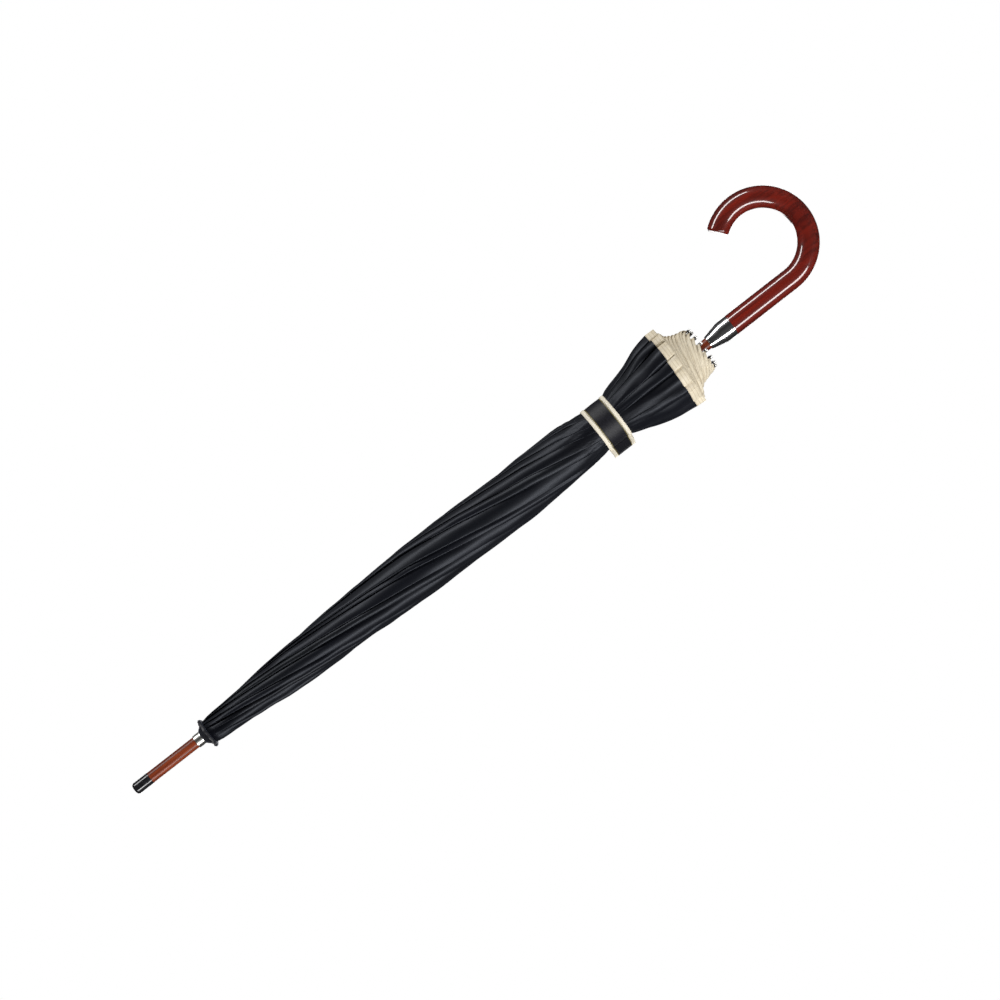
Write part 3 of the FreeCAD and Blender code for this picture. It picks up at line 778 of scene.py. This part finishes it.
def make_rosette():
    """Gathered cone of cloth over the top of the gores, its brim turned out."""
    rng = np.random.default_rng(5)
    section = np.array(ROSETTE_SECTION)
    around = np.linspace(0, math.tau, AROUND_ROSETTE + 1)[:-1]
    folds = np.sin(ROSETTE_PUCKERS * around + 1.4 * np.sin(3 * around + 0.6))
    folds = folds * (0.8 + 0.35 * np.sin(5 * around + 1.1))
    lean = sum(rng.normal() * np.cos(k * around + rng.uniform(0, math.tau))
               for k in (1, 2, 3)) * 0.4
    reach = np.clip((section[:, 0] - 7) / 8, 0, 1)[None, :]
    radius = section[None, :, 0] + folds[:, None] * 0.55 * reach + lean[:, None] * 0.5 * reach
    z = section[None, :, 1] + folds[:, None] * 0.3 * reach + lean[:, None] * 0.6 * reach
    points = around_stick(radius, around[:, None], ROSETTE_FOOT / MM + z) * MM
    piece = make_mesh("rosette_cloth_dish", points, closed_strip(*radius.shape))
    recalculate(piece)
    finish_piece(piece, rosette_cloth)
    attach(piece, "stick")
    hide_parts("rosette")


class Tree:
    """A geometry node tree under construction, its sizes open as named inputs."""

    def __init__(self, name, **sizes):
        self.tree = bpy.data.node_groups.new(name, "GeometryNodeTree")
        face = self.tree.interface
        face.new_socket("Geometry", in_out="OUTPUT", socket_type="NodeSocketGeometry")
        face.new_socket("Geometry", in_out="INPUT", socket_type="NodeSocketGeometry")
        self.identifiers = {}
        for size, value in sizes.items():
            kind = "NodeSocketInt" if isinstance(value, int) else "NodeSocketFloat"
            socket = face.new_socket(size.replace("_", " "), in_out="INPUT", socket_type=kind)
            socket.default_value = value
            self.identifiers[size] = socket.identifier
        self.given = self.tree.nodes.new("NodeGroupInput")
        self.result = self.tree.nodes.new("NodeGroupOutput")

    def node(self, kind, links=None, **settings):
        """New node with its settings, and its inputs linked from sockets."""
        node = self.tree.nodes.new(kind)
        for key, value in settings.items():
            if hasattr(node, key):
                setattr(node, key, value)
            else:
                node.inputs[key.replace("_", " ")].default_value = value
        for key, socket in (links or {}).items():
            self.tree.links.new(socket, node.inputs[key])
        return node

    def size(self, name):
        """Output socket of a named input."""
        return self.given.outputs[name]

    def finish(self, geometry, material):
        """End in plain geometry with its material."""
        plain = self.node("GeometryNodeRealizeInstances", {"Geometry": geometry})
        shaded = self.node("GeometryNodeSetShadeSmooth", {"Geometry": plain.outputs[0]})
        painted = self.node("GeometryNodeSetMaterial", {"Geometry": shaded.outputs[0]},
                            Material=material)
        self.tree.links.new(painted.outputs[0], self.result.inputs[0])
        return self

    def grow(self, name, source, **sizes):
        """Plain mesh piece made by the tree from a source mesh."""
        carrier = bpy.data.objects.new(name + "_source", source)
        bpy.context.scene.collection.objects.link(carrier)
        modifier = carrier.modifiers.new(name, "NODES")
        modifier.node_group = self.tree
        for size, value in sizes.items():
            modifier[self.identifiers[size]] = value
        mesh = plain_mesh(carrier)
        bpy.data.objects.remove(carrier)
        piece = bpy.data.objects.new(name, mesh)
        bpy.context.scene.collection.objects.link(piece)
        return piece


def path_mesh(name, lines):
    """Mesh of open lines of points."""
    points, edges = [], []
    for line in lines:
        edges += [(len(points) + k, len(points) + k + 1) for k in range(len(line) - 1)]
        points += [tuple(p) for p in line]
    mesh = bpy.data.meshes.new(name)
    mesh.from_pydata(points, edges, [])
    return mesh


def stitch_tree(material):
    """Short thread stitches laid along a line."""
    tree = Tree("Stitch row", Pitch=0.0022, Stitch_length=0.0015, Thread_radius=0.00016)
    curve = tree.node("GeometryNodeMeshToCurve", {"Mesh": tree.given.outputs["Geometry"]})
    spaced = tree.node("GeometryNodeResampleCurve",
                       {"Curve": curve.outputs[0], "Length": tree.size("Pitch")}, mode="LENGTH")
    stitch = tree.node("GeometryNodeMeshCylinder",
                       {"Radius": tree.size("Thread radius"), "Depth": tree.size("Stitch length")},
                       Vertices=6)
    tangent = tree.node("GeometryNodeInputTangent")
    facing = tree.node("FunctionNodeAlignRotationToVector", {"Vector": tangent.outputs[0]}, axis="Z")
    laid = tree.node("GeometryNodeInstanceOnPoints",
                     {"Points": spaced.outputs[0], "Instance": stitch.outputs["Mesh"],
                      "Rotation": facing.outputs[0]})
    return tree.finish(laid.outputs[0], material)


def wrap_tree(material):
    """Thread wound round a rib's tip."""
    tree = Tree("Thread wraps", Turns=5.0, Wrap_radius=0.0017, Height=0.0019,
                Thread_radius=0.00022)
    wound = tree.node("GeometryNodeCurveSpiral",
                      {"Rotations": tree.size("Turns"), "Start Radius": tree.size("Wrap radius"),
                       "End Radius": tree.size("Wrap radius"), "Height": tree.size("Height")},
                      Resolution=14)
    thread = tree.node("GeometryNodeCurvePrimitiveCircle",
                       {"Radius": tree.size("Thread radius")}, Resolution=6)
    body = tree.node("GeometryNodeCurveToMesh",
                     {"Curve": wound.outputs[0], "Profile Curve": thread.outputs[0]})
    body.inputs["Fill Caps"].default_value = True
    return tree.finish(body.outputs[0], material)


def thread_material():
    """Twisted black sewing thread."""
    finish = Finish("black_thread", Roughness=0.55, Sheen_Weight=0.2)
    place = finish.object_place()
    finish.set("Base Color", finish.ramp(
        finish.noise(place, 1400.0),
        (0.3, (0.0072, 0.0072, 0.0084)), (0.7, (0.012, 0.012, 0.014))))
    finish.bump((finish.noise(place, 2600.0), 0.4, 0.0001))
    return finish.material


def make_stitches(thread):
    """Stitching along the binding of the strap and round its doubled end."""
    tree = stitch_tree(thread)
    around = np.linspace(0, math.tau, 97)
    tilt = STRAP_TILT * MM * np.cos(around - STRAP_TILTED_TOWARDS)
    lines = [around_stick(STITCH_RADIUS, around, STRAP_MIDDLE + side * STITCH_LINE + tilt)
             for side in (-1, 1)]
    row = tree.grow("strap_stitches", path_mesh("strap_stitch_lines", lines), Pitch=0.0024)
    finish_rider(row, "panel_08")
    way, lying = strap_rest_plane()
    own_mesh(row)
    lines = [[(x * MM, side * TAB_STITCH_OUT * MM, STRAP_MIDDLE + z * MM) for x, z in TAB_STITCHES]
             for side in (-1, 1)]
    box = tree.grow("strap_end_stitches", path_mesh("strap_end_lines", lines), Pitch=0.0022)
    finish_rider(box, "strap_tab")


def finish_rider(piece, body):
    """Body of a piece that already has its material."""
    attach(piece, body)


def make_tip_ties(thread):
    """Thread that ties the hem's corner to every rib tip."""
    tree = wrap_tree(thread)
    below_crown = CROWN_PIVOT.z - TIE_RADIUS_AT
    radius = CROWN_RADIUS + below_crown * math.tan(CLOSED_LEAN) + 0.3 * MM
    for rib in range(1, RIBS + 1):
        azimuth = (rib - 0.5) * PITCH
        seed = path_mesh("tip_tie_seed", [[(0, 0, 0), (0, 0, MM)]])
        tie = tree.grow("tip_tie_%02d" % rib, seed, Turns=5.0 + (rib % 3))
        on_tip = Matrix.Translation((radius, 0, TIE_HEIGHT)) @ Matrix.Rotation(-CLOSED_LEAN, 4, "Y")
        tie.data.transform(Matrix.Rotation(azimuth, 4, "Z") @ on_tip)
        finish_rider(tie, "rib_%02d" % rib)


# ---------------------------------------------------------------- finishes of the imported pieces

def finish_packed_pieces():
    """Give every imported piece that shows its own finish."""
    finishes = {"handle_crook": handle_lacquer, "handle_collar": collar_chrome,
                "shaft": stick_wood, "ferrule_cap": cap_black, "ferrule_ring": ring_silver,
                "crown": notch_plastic, "runner": notch_plastic}
    for name, piece in frame["nodes"].items():
        material = finishes.get(name)
        if material is None:
            material = catch_steel if "catch" in name else rib_steel
        for place in piece.material_slots:
            place.material = material


# ---------------------------------------------------------------- floor, lights and camera

def make_floor():
    """Pale round plate far below the umbrella."""
    around = np.linspace(0, math.tau, FLOOR_SIDES + 1)[:-1]
    middle, bevel, foot = 0.1 * MM, 4 * MM, FLOOR_TOP - FLOOR_THICKNESS
    section = ((middle, FLOOR_TOP), (0.3, FLOOR_TOP), (0.6, FLOOR_TOP),
               (FLOOR_RADIUS - bevel, FLOOR_TOP), (FLOOR_RADIUS, FLOOR_TOP - bevel),
               (FLOOR_RADIUS, foot), (middle, foot))
    points = np.stack([around_stick(radius, around, np.full(FLOOR_SIDES, z)) for radius, z in section])
    index = np.arange(len(section) * FLOOR_SIDES).reshape(len(section), FLOOR_SIDES)
    following = np.roll(index, -1, 1)
    faces = np.stack([index[:-1], index[1:], following[1:], following[:-1]], -1).reshape(-1, 4)
    plate = make_mesh("floor_plate", points, faces)
    plate.data.materials.append(floor_material())
    plate.visible_glossy = False


def strip_light(name, from_camera, distance, width, height, power):
    """Tall soft light standing round the umbrella, its angle counted from the camera."""
    data = bpy.data.lights.new(name, "AREA")
    data.shape = "RECTANGLE"
    data.size, data.size_y, data.energy = width, height, power
    light = bpy.data.objects.new(name, data)
    angle = math.radians(from_camera)
    light.location = (distance * math.sin(angle), -distance * math.cos(angle), LIGHT_HEIGHT)
    facing = Vector((0, 0, LIGHT_HEIGHT)) - light.location
    light.rotation_euler = facing.to_track_quat("-Z", "Y").to_euler()
    light.visible_camera = False
    bpy.context.scene.collection.objects.link(light)
    return light


def make_lights():
    """White room and tall soft lights."""
    world = bpy.data.worlds.new("white_room")
    bpy.context.scene.world = world
    world.use_nodes = True
    tree = world.node_tree
    backdrop = tree.nodes["Background"]
    backdrop.inputs["Color"].default_value = (1, 1, 1, 1)
    path = tree.nodes.new("ShaderNodeLightPath")
    strength = {"Is Camera Ray": 1.0 - ROOM_LIGHT, "Is Glossy Ray": ROOM_GLOSS - ROOM_LIGHT}
    total = None
    for ray, extra in strength.items():
        part = tree.nodes.new("ShaderNodeMath")
        part.operation = "MULTIPLY_ADD"
        tree.links.new(path.outputs[ray], part.inputs[0])
        part.inputs[1].default_value = extra
        part.inputs[2].default_value = ROOM_LIGHT
        if total:
            tree.links.new(total, part.inputs[2])
        total = part.outputs[0]
    tree.links.new(total, backdrop.inputs["Strength"])
    bpy.context.scene.view_settings.view_transform = "Standard"
    strip_light("left_strip", -51, 2.2, 0.60, 2.8, 64)
    strip_light("right_strip", 73, 2.2, 0.42, 2.8, 47)
    strip_light("back_left", -170, 2.8, 0.5, 2.6, 15)
    strip_light("back_right", 172, 2.8, 0.4, 2.6, 13)
    strip_light("front_fill", -8, 3.4, 1.2, 2.0, 5).visible_glossy = False


def make_camera():
    """Camera square to the crook's plane, rolled so that the stick leans."""
    data = bpy.data.cameras.new("main_camera")
    data.lens, data.sensor_width = 100, 36
    camera = bpy.data.objects.new("main_camera", data)
    up, back = Vector(CAMERA_UP), Vector((0, -1, 0))
    turn = Matrix((up.cross(back), up, back)).transposed().to_4x4()
    stand = Vector(CAMERA_TARGET) + CAMERA_DISTANCE * back
    camera.matrix_world = Matrix.Translation(stand) @ turn
    bpy.context.scene.collection.objects.link(camera)
    bpy.context.scene.camera = camera


make_camera()
make_lights()
make_floor()
finish_packed_pieces()
make_rolled_gores()
make_open_gores()
bound = strap_material()
make_strap(bound)
make_strap_tab(bound)
make_rosette()
black_thread = thread_material()
make_stitches(black_thread)
make_tip_ties(black_thread)
